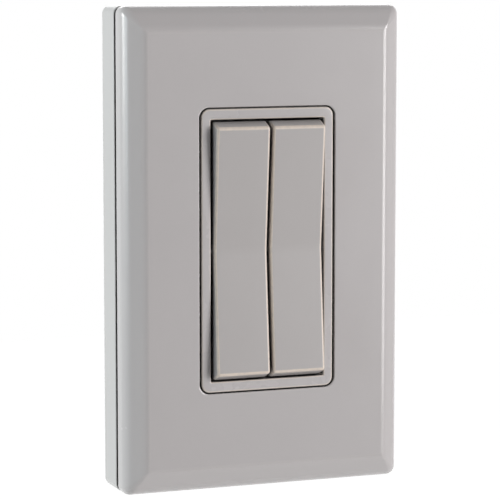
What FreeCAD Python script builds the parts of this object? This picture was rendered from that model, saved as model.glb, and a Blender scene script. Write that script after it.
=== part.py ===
import FreeCAD, Part
import math
import operator
import os
import re
import Sketcher

# Surface-mounted wireless wall switch with two rockers.
# X runs to the right, Z up, and the front faces -Y. The wall is the plane Y = 0.
# "Depth" is the distance out from the wall, so a depth of 9 lies at Y = -9.

doc = FreeCAD.newDocument("wallSwitch")

# Driving dimensions, in millimetres and degrees.
drivingSizes = {
    # outside of the cover plate and of the frame behind it
    "plateWidth": 69.85,
    "plateHeight": 114.3,
    "plateCorner": 2.0,
    "plateWall": 1.6,
    "faceDepth": 17.5,
    "bevelDepth": 14.45,
    "bevelSide": 4.3,
    "bevelEnd": 5.05,
    "frontWall": 2.0,
    "openingWidth": 34.2,
    "openingHeight": 67.3,
    "openingCorner": 2.5,
    "ridgeRound": 1.6,
    "creaseRound": 1.2,
    "rimRound": 0.3,
    "backDepth": 8.5,
    "seamGap": 0.9,
    "backFloor": 1.6,
    "lipInset": 1.8,
    "lipWall": 1.2,
    "lipDepth": 12.0,
    # wall screws
    "screwSpacing": 83.3,
    "screwHole": 2.1,
    "screwBoss": 5.0,
    "screwBossDepth": 3.2,
    # recesses for mounting tape in the back
    "tapeHalf": 26.0,
    "tapeNear": 9.0,
    "tapeFar": 33.0,
    "tapeDepth": 0.6,
    # snaps that hold the cover plate
    "snapHeight": 30.0,
    "snapHalf": 4.0,
    "snapDepth": 10.1,
    "snapThick": 1.0,
    "snapProud": 0.4,
    # bezel round the rockers
    "bezelWidth": 33.2,
    "bezelHeight": 66.6,
    "bezelCorner": 2.0,
    "holeWidth": 28.6,
    "holeHeight": 61.6,
    "bezelRear": 12.6,
    "flangeWidth": 43.0,
    "flangeHeight": 74.0,
    "flangeRear": 13.9,
    "flangeFront": 15.3,
    "legInner": 5.0,
    "legOuter": 12.0,
    "legNear": 33.8,
    "legFar": 35.6,
    "barb": 0.6,
    "barbDepth": 5.0,
    "barbThick": 1.2,
    # rockers and their axle
    "rockerWidth": 13.25,
    "rockerGap": 0.7,
    "rockerMiddle": 17.9,
    "rockerEdge": 20.25,
    "rockerEdgeHeight": 29.0,
    "rockerFoot": 17.5,
    "rockerHalf": 30.25,
    "rockerSkirt": 13.9,
    "rockerWall": 1.4,
    "rockerRound": 0.5,
    "axleDepth": 14.6,
    "axleRadius": 1.0,
    "axleLength": 33.0,
    "axleFit": 0.05,
    "hubRadius": 2.0,
    "ribHalf": 1.5,
    "ribNear": 12.8,
    "ribFar": 18.2,
    "ribTip": 13.26,
    "ribRoot": 18.2,
    # transmitter module
    "moduleSize": 40.0,
    "moduleCorner": 1.5,
    "moduleWall": 1.2,
    "moduleSplit": 6.8,
    "moduleFront": 12.0,
    "moduleGap": 0.1,
    "guideThick": 1.4,
    "guideHalf": 8.0,
    "guideDepth": 6.0,
    "hookHalf": 4.0,
    "hookReach": 0.8,
    "hookThick": 0.9,
    "boardSize": 36.8,
    "boardRear": 3.2,
    "boardThick": 0.8,
    "boardPost": 2.0,
    "springNotch": 4.0,
    "notchGap": 0.5,
    "chipSize": 5.0,
    "chipThick": 0.9,
    "canRadius": 2.0,
    "canHeight": 4.0,
    "canLeft": -14.2,
    "canUp": 13.0,
    "antennaInset": 0.2,
    "antennaWide": 0.7,
    "antennaThick": 0.6,
    "antennaStub": 5.0,
    # push pins that work the contacts
    "pinAcross": 6.975,
    "pinHeight": 14.0,
    "pinRadius": 1.5,
    "pinFit": 0.05,
    "pinCollar": 2.2,
    "pinRear": 6.2,
    "pinCollarRear": 8.6,
    "pinCollarFront": 9.6,
    "pinShoulder": 12.6,
    "pinTip": 13.2,
    "pinNose": 0.4,
    "domeRadius": 2.2,
    "domeNose": 1.6,
    "domeDepth": 5.2,
    "matThick": 0.5,
    "matOverlap": 2.4,
    "matReach": 3.0,
    # energy bow and magnet block
    "bowHalf": 18.2,
    "bowInnerX": 15.8,
    "bowInnerZ": 16.6,
    "bowRear": 10.0,
    "bowThick": 0.7,
    "padHalf": 1.5,
    "windowGap": 0.2,
    "poleLeft": 12.6,
    "poleRight": 17.6,
    "poleLow": -10.6,
    "poleHigh": 2.0,
    "poleThick": 0.8,
    "magnetLeft": 15.2,
    "magnetRear": 6.4,
    "magnetFront": 9.2,
    "springLow": 4.0,
    "springWide": 5.0,
    "springThick": 0.3,
    "springFoot": 3.9,
    "springOver": 1.4,
    "springTail": 2.8,
    "springLean": 1.5,
    "springFlat": 1.2,
    # coil and core
    "coreRear": 6.46,
    "coreThick": 1.6,
    "coreLeft": -14.0,
    "coreRight": 14.4,
    "coreYoke": 3.0,
    "coreHalf": 2.0,
    "coreReturnHigh": -7.6,
    "bobbinHalf": 10.5,
    "bobbinFlange": 1.0,
    "bobbinHeight": 5.5,
    "bobbinFront": 10.3,
    "bobbinTube": 0.5,
    "coilHeight": 5.0,
    "coilRear": 4.8,
    "coilFront": 9.9,
    "coilRound": 1.2,
    "slip": 0.05,
}

# how close two places must be to count as the same, in millimetres
tiny = 1e-3


def aliasText(text):
    """Put the sheet's name before each alias in an expression."""
    return re.sub(r"[A-Za-z]\w*", lambda word: "Sizes." + word.group(0), text)


class Dim:
    """A number together with the sheet expression that it comes from."""

    def __init__(self, value, text):
        self.value = value
        self.text = text

    def join(self, other, work, sign, swap=False):
        other = other if isinstance(other, Dim) else Dim(other, repr(other))
        first, second = (other, self) if swap else (self, other)
        return Dim(work(first.value, second.value), f"({first.text} {sign} {second.text})")

    def __add__(self, other):
        return self.join(other, operator.add, "+")

    def __radd__(self, other):
        return self.join(other, operator.add, "+", swap=True)

    def __sub__(self, other):
        return self.join(other, operator.sub, "-")

    def __rsub__(self, other):
        return self.join(other, operator.sub, "-", swap=True)

    def __mul__(self, other):
        return self.join(other, operator.mul, "*")

    def __rmul__(self, other):
        return self.join(other, operator.mul, "*", swap=True)

    def __truediv__(self, other):
        return self.join(other, operator.truediv, "/")

    def __neg__(self):
        return 0 - self


class Sizes:
    """The driving dimensions by name, each with its cell in the sheet."""


sheet = doc.addObject("Spreadsheet::Sheet", "Sizes")
size = Sizes()
for row, (alias, amount) in enumerate(drivingSizes.items(), start=1):
    sheet.set(f"A{row}", alias)
    sheet.set(f"B{row}", str(amount))
    sheet.setAlias(f"B{row}", alias)
    setattr(size, alias, Dim(amount, alias))
doc.recompute()


def number(value):
    return value.value if isinstance(value, Dim) else float(value)


def bind(thing, name, value):
    """Bind one property to the sheet, or set it when it is a plain number."""
    if isinstance(value, Dim):
        thing.setExpression(name, aliasText(value.text))
    else:
        setattr(thing, name, value)


def place(thing, x=0.0, y=0.0, z=0.0, turn=None):
    """Give a feature or body its place, bound to the sheet."""
    base = FreeCAD.Vector(number(x), number(y), number(z))
    thing.Placement = FreeCAD.Placement(base, turn or FreeCAD.Rotation())
    for axis, value in (("x", x), ("y", y), ("z", z)):
        if isinstance(value, Dim):
            thing.setExpression("Placement.Base." + axis, aliasText(value.text))


def newBody(label):
    body = doc.addObject("PartDesign::Body", label)
    body.Label = label
    return body


def plane(body, role):
    return next(part for part in body.Origin.OriginFeatures if part.Role == role)


def slab(body, name, across, depth, height, cut=False):
    """A box given by its spans in X, in depth from the wall, and in Z."""
    kind = "PartDesign::SubtractiveBox" if cut else "PartDesign::AdditiveBox"
    box = body.newObject(kind, name)
    bind(box, "Length", across[1] - across[0])
    bind(box, "Width", depth[1] - depth[0])
    bind(box, "Height", height[1] - height[0])
    place(box, across[0], -depth[1], height[0])
    return box


def rod(body, name, radius, depth, x=0.0, z=0.0, cut=False, tipRadius=None):
    """A round post or hole square to the wall, or a cone with a tip radius."""
    shape = "Cylinder" if tipRadius is None else "Cone"
    post = body.newObject(f"PartDesign::{'Subtractive' if cut else 'Additive'}{shape}", name)
    if tipRadius is None:
        bind(post, "Radius", radius)
    else:
        bind(post, "Radius1", radius)
        bind(post, "Radius2", tipRadius)
    bind(post, "Height", depth[1] - depth[0])
    place(post, x, -depth[0], z, FreeCAD.Rotation(FreeCAD.Vector(1, 0, 0), 90))
    return post


def crossRod(body, name, radius, across, depth, cut=False):
    """A round bar or hole that runs along X at mid height."""
    kind = "PartDesign::SubtractiveCylinder" if cut else "PartDesign::AdditiveCylinder"
    bar = body.newObject(kind, name)
    bind(bar, "Radius", radius)
    bind(bar, "Height", across[1] - across[0])
    place(bar, across[0], -depth, 0.0, FreeCAD.Rotation(FreeCAD.Vector(0, 1, 0), 90))
    return bar


def outline(body, name, role, loops, depth=0.0):
    """A sketch of closed outlines whose corners are bound to the sheet."""
    sketch = body.newObject("Sketcher::SketchObject", name)
    sketch.AttachmentSupport = [(plane(body, role), "")]
    sketch.MapMode = "FlatFace"
    if isinstance(depth, Dim):
        sketch.setExpression("AttachmentOffset.Base.z", aliasText(depth.text))
    for corners in loops:
        first = sketch.GeometryCount
        points = [FreeCAD.Vector(number(x), number(y), 0) for x, y in corners]
        count = len(points)
        for i in range(count):
            sketch.addGeometry(Part.LineSegment(points[i], points[(i + 1) % count]))
        for i in range(count):
            follower = first + (i + 1) % count
            sketch.addConstraint(Sketcher.Constraint("Coincident", first + i, 2, follower, 1))
        for i, (x, y) in enumerate(corners):
            fixPoint(sketch, "X", first + i, x)
            fixPoint(sketch, "Y", first + i, y)
    return sketch


def fixPoint(sketch, axis, line, value):
    """Hold the start of a line at a distance from the sketch's origin."""
    if abs(number(value)) < 1e-9:
        sketch.addConstraint(Sketcher.Constraint("PointOnObject", line, 1, -2 if axis == "X" else -1))
        return
    label = f"corner{line}{axis}"
    distance = Sketcher.Constraint("Distance" + axis, -1, 1, line, 1, number(value))
    sketch.renameConstraint(sketch.addConstraint(distance), label)
    if isinstance(value, Dim):
        sketch.setExpression("Constraints." + label, aliasText(value.text))


def rectangle(across, height):
    return [(across[0], height[0]), (across[1], height[0]), (across[1], height[1]), (across[0], height[1])]


def pad(body, name, sketch, length, midplane=False):
    feature = body.newObject("PartDesign::Pad", name)
    feature.Profile = sketch
    feature.Midplane = midplane
    bind(feature, "Length", length)
    return feature


def pocket(body, name, sketch, length=None):
    """Cut a sketch's outlines to a width about its plane, or right through."""
    before = solidVolume(body)
    feature = body.newObject("PartDesign::Pocket", name)
    feature.Profile = sketch
    feature.Midplane = True
    if length is None:
        feature.Type = "ThroughAll"
    else:
        bind(feature, "Length", length)
    if not solidVolume(body) < before:
        raise RuntimeError(f"{body.Label}: {name} removed nothing")
    return feature


def solidVolume(body):
    doc.recompute()
    return body.Shape.Volume


def roundEdges(body, name, radius, wanted):
    """Fillet every edge of the body for which wanted(edge) is true."""
    doc.recompute()
    base = body.Tip
    edges = base.Shape.Edges
    names = [f"Edge{i}" for i, edge in enumerate(edges, start=1) if wanted(edge)]
    feature = body.newObject("PartDesign::Fillet", name)
    feature.Base = (base, names)
    bind(feature, "Radius", radius)
    return feature


def upright(edge, x, z):
    """True for an edge square to the wall at this distance either side of the middle."""
    ends = [vertex.Point for vertex in edge.Vertexes]
    if len(ends) != 2 or abs(ends[0].y - ends[1].y) < tiny:
        return False
    return all(abs(abs(p.x) - number(x)) < tiny and abs(abs(p.z) - number(z)) < tiny for p in ends)


def rimEdge(edge, depth, x, z):
    """True for an edge at this depth that runs along the outline with these half sizes."""
    middle = edge.valueAt((edge.FirstParameter + edge.LastParameter) / 2)
    onDepth = all(abs(vertex.Point.y + number(depth)) < tiny for vertex in edge.Vertexes)
    onSide = abs(abs(middle.x) - number(x)) < tiny or abs(abs(middle.z) - number(z)) < tiny
    return onDepth and onSide and abs(middle.x) < number(x) + tiny and abs(middle.z) < number(z) + tiny


def both(value):
    """The span from one side of the middle to the other."""
    return (-value, value)


def sides(near, far):
    """The two mirrored spans that lie either side of the middle."""
    return [(near, far), (-far, -near)]


def buildBackFrame():
    body = newBody("back_frame")
    halfWidth, halfHeight = size.plateWidth / 2, size.plateHeight / 2
    face = outline(body, "frameOutline", "XZ_Plane", [rectangle(both(halfWidth), both(halfHeight))])
    pad(body, "frameBlock", face, size.backDepth)
    roundEdges(body, "frameCorners", size.plateCorner, lambda e: upright(e, halfWidth, halfHeight))

    outerX, outerZ = number(halfWidth), number(halfHeight)
    roundEdges(body, "frameRims", size.rimRound, lambda e: not upright(e, outerX, outerZ))
    lipX, lipZ = halfWidth - size.lipInset, halfHeight - size.lipInset
    slab(body, "plateLip", both(lipX), (size.backFloor, size.lipDepth), both(lipZ))
    innerX, innerZ = lipX - size.lipWall, lipZ - size.lipWall
    slab(body, "hollow", both(innerX), (size.backFloor, size.lipDepth), both(innerZ), cut=True)

    # shallow recesses in the back for mounting tape
    for i, span in enumerate(sides(size.tapeNear, size.tapeFar)):
        slab(body, f"tapeRecess{i}", both(size.tapeHalf), (-size.slip, size.tapeDepth), span, cut=True)

    # windows in the lip for the cover plate's snaps
    windowDepth = (size.snapDepth - size.windowGap, size.snapDepth + size.snapThick + size.windowGap)
    for i, level in enumerate((size.snapHeight, -size.snapHeight)):
        span = (level - size.snapHalf - size.windowGap, level + size.snapHalf + size.windowGap)
        slab(body, f"snapWindow{i}", both(halfWidth), windowDepth, span, cut=True)

    # screw bosses over and under the module
    boss = (size.backFloor - size.slip, size.screwBossDepth)
    for i, level in enumerate((size.screwSpacing / 2, -size.screwSpacing / 2)):
        rod(body, f"screwBoss{i}", size.screwBoss, boss, z=level)
        rod(body, f"screwHole{i}", size.screwHole, (-size.slip, size.screwBossDepth), z=level, cut=True)

    # guides and snap hooks round the module
    near = size.moduleSize / 2 + size.moduleGap
    far = near + size.guideThick
    root = size.backFloor - size.slip
    hookFront = size.moduleFront + size.slip + size.hookThick
    for i, span in enumerate(sides(near, far)):
        slab(body, f"endGuide{i}", both(size.guideHalf), (root, size.guideDepth), span)
        slab(body, f"sideGuide{i}", span, (root, size.guideDepth), both(size.guideHalf))
        slab(body, f"hookArm{i}", span, (root, hookFront), both(size.hookHalf))
    for i, span in enumerate(sides(near - size.hookReach, near + size.slip)):
        slab(body, f"hook{i}", span, (size.moduleFront + size.slip, hookFront), both(size.hookHalf))

    # ribs from the guides to the side walls
    for i, span in enumerate(sides(far - size.slip, innerX + size.slip)):
        for j, level in enumerate(sides(size.guideHalf - size.guideThick, size.guideHalf)):
            slab(body, f"rib{i}{j}", span, (root, size.backFloor * 2), level)

    # latch posts for the bezel's legs
    post = (size.legNear - size.barb - size.guideThick, size.legNear - size.slip)
    notch = (size.barbDepth - size.windowGap, size.barbDepth + size.barbThick + size.windowGap)
    for i, level in enumerate(sides(*post)):
        for j, span in enumerate(sides(size.legInner, size.legOuter)):
            slab(body, f"post{i}{j}", span, (root, size.backDepth), level)
    for i, level in enumerate(sides(size.legNear - size.barb - size.slip, size.legNear)):
        for j, span in enumerate(sides(size.legInner, size.legOuter)):
            slab(body, f"postNotch{i}{j}", span, notch, level, cut=True)
    return body


def buildWallPlate():
    body = newBody("wall_plate")
    halfWidth, halfHeight = size.plateWidth / 2, size.plateHeight / 2
    rear = size.backDepth + size.seamGap
    face = outline(body, "plateOutline", "XZ_Plane", [rectangle(both(halfWidth), both(halfHeight))], rear)
    pad(body, "plateBlock", face, size.faceDepth - rear)
    roundEdges(body, "plateCorners", size.plateCorner, lambda e: upright(e, halfWidth, halfHeight))

    gapX, gapZ = size.openingWidth / 2, size.openingHeight / 2
    slab(body, "opening", both(gapX), (rear, size.faceDepth), both(gapZ), cut=True)
    roundEdges(body, "openingCorners", size.openingCorner, lambda e: upright(e, gapX, gapZ))

    # bevels: two triangles cut along the sides, two along the ends
    def wedge(edge, inner):
        return [(edge, -size.bevelDepth), (edge, -size.faceDepth), (inner, -size.faceDepth)]

    insideX, insideZ = halfWidth - size.bevelSide, halfHeight - size.bevelEnd
    sideCuts = [wedge(halfWidth, insideX), wedge(-halfWidth, -insideX)]
    pocket(body, "sideBevels", outline(body, "sideBevelOutline", "XY_Plane", sideCuts))
    endWedges = [wedge(halfHeight, insideZ), wedge(-halfHeight, -insideZ)]
    endCuts = [[(y, x) for x, y in corners] for corners in endWedges]
    pocket(body, "endBevels", outline(body, "endBevelOutline", "YZ_Plane", endCuts))

    # ridge: the edge between the outside walls and the bevels, corners included
    outerX, outerZ = number(halfWidth), number(halfHeight)
    corner = number(size.plateCorner)

    def onRidge(point):
        away = (max(abs(point.x) - outerX + corner, 0), max(abs(point.z) - outerZ + corner, 0))
        return -point.y > number(size.bevelDepth) - tiny and abs(math.hypot(*away) - corner) < tiny

    def ridge(edge):
        return all(onRidge(vertex.Point) for vertex in edge.Vertexes)

    # crease: the bevels' edges on the face, and the mitres between the bevels
    def crease(edge):
        middle = edge.CenterOfMass
        inside = abs(middle.x) < number(insideX) - tiny and abs(middle.z) < number(insideZ) - tiny
        front = all(-vertex.Point.y > number(size.bevelDepth) + tiny for vertex in edge.Vertexes)
        return front and not inside and not ridge(edge)

    def rim(edge):
        onOpening = rimEdge(edge, size.faceDepth, gapX, gapZ)
        middle = edge.CenterOfMass
        outside = abs(middle.x) > number(gapX) + tiny or abs(middle.z) > number(gapZ) + tiny
        return onOpening or (abs(middle.y + number(rear)) < tiny and outside)

    roundEdges(body, "creaseRounds", size.creaseRound, crease)
    roundEdges(body, "ridgeRounds", size.ridgeRound, ridge)
    roundEdges(body, "rimRounds", size.rimRound, rim)

    # hollow inside: straight walls, then a taper that follows the bevels
    wallX, wallZ = halfWidth - size.plateWall, halfHeight - size.plateWall
    taperStart = size.bevelDepth - size.plateWall / 2
    taperEnd = size.faceDepth - size.frontWall
    slab(body, "hollow", both(wallX), (rear, taperStart), both(wallZ), cut=True)
    taper = body.newObject("PartDesign::SubtractiveWedge", "hollowTaper")
    bind(taper, "Ymin", -taperEnd)
    bind(taper, "Ymax", -taperStart)
    narrowX, narrowZ = insideX - size.plateWall, insideZ - size.plateWall
    for name, wide, narrow in (("X", wallX, narrowX), ("Z", wallZ, narrowZ)):
        bind(taper, name + "min", -narrow)
        bind(taper, name + "max", narrow)
        bind(taper, name + "2min", -wide)
        bind(taper, name + "2max", wide)

    # snaps that click into the lip's windows
    snapSpan = sides(wallX - size.snapProud, wallX + size.slip)
    for i, span in enumerate(snapSpan):
        for j, level in enumerate((size.snapHeight, -size.snapHeight)):
            height = (level - size.snapHalf, level + size.snapHalf)
            slab(body, f"snap{i}{j}", span, (size.snapDepth, size.snapDepth + size.snapThick), height)
    return body


def buildBezelFrame():
    body = newBody("bezel_frame")
    halfWidth, halfHeight = size.bezelWidth / 2, size.bezelHeight / 2
    ringShape = rectangle(both(halfWidth), both(halfHeight))
    ring = outline(body, "ringOutline", "XZ_Plane", [ringShape], size.bezelRear)
    pad(body, "ring", ring, size.faceDepth - size.bezelRear)
    roundEdges(body, "ringCorners", size.bezelCorner, lambda e: upright(e, halfWidth, halfHeight))
    hole = (both(size.holeWidth / 2), (size.bezelRear, size.faceDepth), both(size.holeHeight / 2))
    slab(body, "rockerHole", *hole, cut=True)
    roundEdges(body, "ringRims", size.rimRound, lambda e: all(
        abs(vertex.Point.y + number(size.faceDepth)) < tiny for vertex in e.Vertexes))
    flange = (size.flangeRear, size.flangeFront)
    slab(body, "flange", both(size.flangeWidth / 2), flange, both(size.flangeHeight / 2))

    # four legs with barbs that latch behind the back frame's posts
    for i, level in enumerate(sides(size.legNear, size.legFar)):
        for j, span in enumerate(sides(size.legInner, size.legOuter)):
            slab(body, f"leg{i}{j}", span, (size.backFloor, size.flangeFront), level)
    barbDepth = (size.barbDepth, size.barbDepth + size.barbThick)
    for i, level in enumerate(sides(size.legNear - size.barb, size.legNear + size.slip)):
        for j, span in enumerate(sides(size.legInner + size.slip, size.legOuter - size.slip)):
            slab(body, f"barb{i}{j}", span, barbDepth, level)

    slab(body, "flangeHole", *hole, cut=True)
    crossRod(body, "axleBore", size.axleRadius + size.slip / 2, both(halfWidth), size.axleDepth, cut=True)
    return body


def buildRocker(label, side):
    body = newBody(label)
    high, foot = size.rockerEdgeHeight, size.rockerHalf
    half = [(-size.rockerMiddle, 0), (-size.rockerEdge, high),
            (-size.rockerFoot, foot), (-size.rockerSkirt, foot)]
    profile = half + [(y, -z) for y, z in reversed(half[1:])]
    block = outline(body, "profile", "YZ_Plane", [profile])
    pad(body, "block", block, size.rockerWidth, midplane=True)
    front = size.rockerFoot + size.rockerRound

    def visibleEdge(edge):
        middle = edge.valueAt((edge.FirstParameter + edge.LastParameter) / 2)
        return middle.y < -number(front) and abs(middle.z) > 1

    roundEdges(body, "softEdges", size.rockerRound, visibleEdge)

    wall = size.rockerWall
    inner = [(wall - size.rockerMiddle, 0), (wall - size.rockerEdge + wall / 10, high - wall),
             (-size.rockerFoot, foot - wall), (-size.rockerSkirt, foot - wall)]
    hollow = inner + [(y, -z) for y, z in reversed(inner[1:])]
    pocket(body, "hollow", outline(body, "hollowProfile", "YZ_Plane", [hollow]), size.rockerWidth - 2 * wall)

    across = both(size.rockerWidth / 2)
    crossRod(body, "hub", size.hubRadius, across, size.axleDepth)
    crossRod(body, "hubBore", size.axleRadius + size.axleFit, across, size.axleDepth, cut=True)
    for i, level in enumerate(sides(size.ribNear, size.ribFar)):
        slab(body, f"pressRib{i}", both(size.ribHalf), (size.ribTip, size.ribRoot), level)
    place(body, side * (size.rockerWidth + size.rockerGap) / 2)
    return body


def buildAxle():
    axle = doc.addObject("Part::Cylinder", "rocker_axle")
    axle.Label = "rocker_axle"
    bind(axle, "Radius", size.axleRadius)
    bind(axle, "Height", size.axleLength)
    place(axle, -size.axleLength / 2, -size.axleDepth, 0.0, FreeCAD.Rotation(FreeCAD.Vector(0, 1, 0), 90))
    return axle


def buildModuleShell(label, rear, front, floorAtRear):
    """One half of the module's case: an open tray with rounded corners."""
    body = newBody(label)
    half = size.moduleSize / 2
    face = outline(body, "shellOutline", "XZ_Plane", [rectangle(both(half), both(half))], rear)
    pad(body, "shellBlock", face, front - rear)
    roundEdges(body, "shellCorners", size.moduleCorner, lambda e: upright(e, half, half))
    inside = both(half - size.moduleWall)
    depth = (rear + size.moduleWall, front) if floorAtRear else (rear, front - size.moduleWall)
    slab(body, "hollow", inside, depth, inside, cut=True)
    return body


def buildModuleBase():
    body = buildModuleShell("module_base", size.backFloor, size.moduleSplit, True)
    corner = size.boardSize / 2
    floor = size.backFloor + size.moduleWall
    for i, span in enumerate(sides(corner - size.boardPost, corner)):
        for j, level in enumerate(sides(corner - size.boardPost, corner)):
            slab(body, f"boardPost{i}{j}", span, (floor - size.slip, size.boardRear), level)
    return body


def buildModuleCover():
    body = buildModuleShell("module_cover", size.moduleSplit, size.moduleFront, False)
    gap = size.windowGap
    through = (size.moduleFront - size.moduleWall, size.moduleFront)
    for i, x in enumerate((-size.pinAcross, size.pinAcross)):
        for j, z in enumerate((-size.pinHeight, size.pinHeight)):
            rod(body, f"pinBore{i}{j}", size.pinRadius + size.pinFit, through, x, z, cut=True)
        across = (x - size.padHalf - gap, x + size.padHalf + gap)
        for j, level in enumerate(sides(size.bowInnerZ - gap, size.bowHalf + gap)):
            slab(body, f"padWindow{i}{j}", across, through, level, cut=True)
    return body


def buildCircuitBoard():
    body = newBody("circuit_board")
    half = size.boardSize / 2
    face = outline(body, "boardOutline", "XZ_Plane", [rectangle(both(half), both(half))], size.boardRear)
    pad(body, "board", face, size.boardThick)
    notch = (-half, -size.bowInnerX + size.springNotch)
    depth = (size.boardRear, size.boardRear + size.boardThick)
    span = (size.springLow - size.notchGap, size.springLow + size.springWide + size.notchGap)
    slab(body, "springNotch", notch, depth, span, cut=True)
    return body


def buildChip():
    chip = doc.addObject("Part::Box", "radio_chip")
    chip.Label = "radio_chip"
    front = size.boardRear + size.boardThick
    bind(chip, "Length", size.chipSize)
    bind(chip, "Width", size.chipThick)
    bind(chip, "Height", size.chipSize)
    place(chip, size.poleRight - size.chipSize, -front - size.chipThick, size.bobbinHeight)
    return chip


def buildCapacitor():
    can = doc.addObject("Part::Cylinder", "storage_capacitor")
    can.Label = "storage_capacitor"
    bind(can, "Radius", size.canRadius)
    bind(can, "Height", size.canHeight)
    front = size.boardRear + size.boardThick
    place(can, size.canLeft, -front, size.canUp, FreeCAD.Rotation(FreeCAD.Vector(1, 0, 0), 90))
    return can


def buildAntenna():
    """A stamped strip that runs round three sides of the board."""
    body = newBody("antenna_strip")
    outer = size.boardSize / 2 - size.antennaInset
    inner = outer - size.antennaWide
    stub = outer - size.antennaStub
    ring = [(outer, -outer), (outer, -inner), (-inner, -inner), (-inner, inner), (inner, inner),
            (inner, stub), (outer, stub), (outer, outer), (-outer, outer), (-outer, -outer)]
    front = size.boardRear + size.boardThick
    pad(body, "strip", outline(body, "stripOutline", "XZ_Plane", [ring], front), size.antennaThick)
    return body


def buildContactMat():
    body = newBody("contact_mat")
    rear = size.boardRear + size.boardThick
    front = rear + size.matThick
    linkEnd = size.pinHeight - size.matOverlap + size.notchGap
    slab(body, "link", both(size.coreHalf), (rear, front), both(linkEnd))
    for i, level in enumerate(sides(size.pinHeight - size.matOverlap, size.pinHeight + size.matOverlap)):
        slab(body, f"strip{i}", both(size.pinAcross + size.matReach), (rear, front), level)
    for i, x in enumerate((-size.pinAcross, size.pinAcross)):
        for j, z in enumerate((-size.pinHeight, size.pinHeight)):
            depth = (front - size.slip, size.domeDepth)
            rod(body, f"dome{i}{j}", size.domeRadius, depth, x, z, tipRadius=size.domeNose)
    return body


def buildPushPin(label, side, level):
    """A turned push pin: stem, collar and a coned nose."""
    body = newBody(label)
    profile = [(0, -size.pinRear), (size.pinRadius, -size.pinRear), (size.pinRadius, -size.pinCollarRear),
               (size.pinCollar, -size.pinCollarRear), (size.pinCollar, -size.pinCollarFront),
               (size.pinRadius, -size.pinCollarFront), (size.pinRadius, -size.pinShoulder),
               (size.pinNose, -size.pinTip), (0, -size.pinTip)]
    sketch = outline(body, "pinProfile", "XY_Plane", [profile])
    turn = body.newObject("PartDesign::Revolution", "pinTurned")
    turn.Profile = sketch
    turn.ReferenceAxis = (sketch, ["V_Axis"])
    turn.Angle = 360
    place(body, side * size.pinAcross, 0.0, level * size.pinHeight)
    return body


def buildEnergyBow():
    body = newBody("energy_bow")
    depth = (size.bowRear, size.bowRear + size.bowThick)
    slab(body, "bowPlate", both(size.bowHalf), depth, both(size.bowHalf))
    slab(body, "bowWindow", both(size.bowInnerX), depth, both(size.bowInnerZ), cut=True)
    for i, x in enumerate((-size.pinAcross, size.pinAcross)):
        for j, level in enumerate(sides(size.bowInnerZ, size.bowHalf)):
            across = (x - size.padHalf, x + size.padHalf)
            slab(body, f"pad{i}{j}", across, (size.bowRear, size.moduleFront), level)
    return body


def buildBlock(label, across, depth, height):
    body = newBody(label)
    face = outline(body, "blockOutline", "XZ_Plane", [rectangle(across, height)], depth[0])
    pad(body, "block", face, depth[1] - depth[0])
    return body


def buildMagnetBlock():
    height = (size.poleLow, size.poleHigh)
    across = (size.poleLeft, size.poleRight)
    rear, front = size.magnetRear, size.magnetFront
    return [buildBlock("magnet", (size.magnetLeft, size.poleRight), (rear, front), height),
            buildBlock("pole_plate_rear", across, (rear - size.poleThick, rear), height),
            buildBlock("pole_plate_front", across, (front, front + size.poleThick), height)]


def buildBowSpring():
    """A bent leaf spring: foot, sloping blade and a flat that bears on the bow."""
    body = newBody("bow_spring")
    thick, foot, top = size.springThick, size.springFoot, size.bowRear
    left, right = -size.bowInnerX - size.springOver, -size.bowInnerX + size.springTail
    lean, flat = size.springLean, size.springFlat
    blade = [(right, -foot), (left + lean, -foot), (left, flat - top), (left, -top), (left + lean, -top),
             (left + lean, thick - top), (left + thick, thick - top), (left + thick, flat - top),
             (left + lean + thick, -foot - thick), (right, -foot - thick)]
    sketch = outline(body, "bladeProfile", "XY_Plane", [blade])
    pad(body, "blade", sketch, size.springWide)
    place(body, 0.0, 0.0, size.springLow)
    return body


def buildCore():
    """A flat U: one leg through the coil, the other beside it, joined at the left."""
    body = newBody("coil_core")
    left, right, yoke = size.coreLeft, size.coreRight, size.coreLeft + size.coreYoke
    shape = [(left, size.poleLow), (right, size.poleLow),
             (right, size.coreReturnHigh), (yoke, size.coreReturnHigh),
             (yoke, -size.coreHalf), (right, -size.coreHalf),
             (right, size.coreHalf), (left, size.coreHalf)]
    pad(body, "lamination", outline(body, "coreOutline", "XZ_Plane", [shape], size.coreRear), size.coreThick)
    return body


def buildBobbin():
    body = newBody("coil_bobbin")
    boardFront = size.boardRear + size.boardThick
    bore = (size.coreRear - size.slip, size.coreRear + size.coreThick + size.slip)
    tube = (bore[0] - size.bobbinTube, bore[1] + size.bobbinTube)
    inner = size.bobbinHalf - size.bobbinFlange
    boreHalf = size.coreHalf + size.slip
    slab(body, "tube", both(inner + size.slip), tube, both(boreHalf + size.bobbinTube))
    for i, span in enumerate(sides(inner, size.bobbinHalf)):
        slab(body, f"flange{i}", span, (boardFront, size.bobbinFront), both(size.bobbinHeight))
    slab(body, "coreHole", both(size.bobbinHalf), bore, both(boreHalf), cut=True)
    return body


def buildWinding():
    body = newBody("coil_winding")
    inner = size.bobbinHalf - size.bobbinFlange - size.slip
    slab(body, "turns", both(inner), (size.coilRear, size.coilFront), both(size.coilHeight))

    def longCorner(edge):
        ends = [vertex.Point for vertex in edge.Vertexes]
        return len(ends) == 2 and abs(ends[0].x - ends[1].x) > 1

    roundEdges(body, "turnCorners", size.coilRound, longCorner)
    clear = size.bobbinTube + size.slip * 2
    depth = (size.coreRear - clear, size.coreRear + size.coreThick + clear)
    slab(body, "tubeHole", both(inner), depth, both(size.coreHalf + clear), cut=True)
    return body


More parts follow.
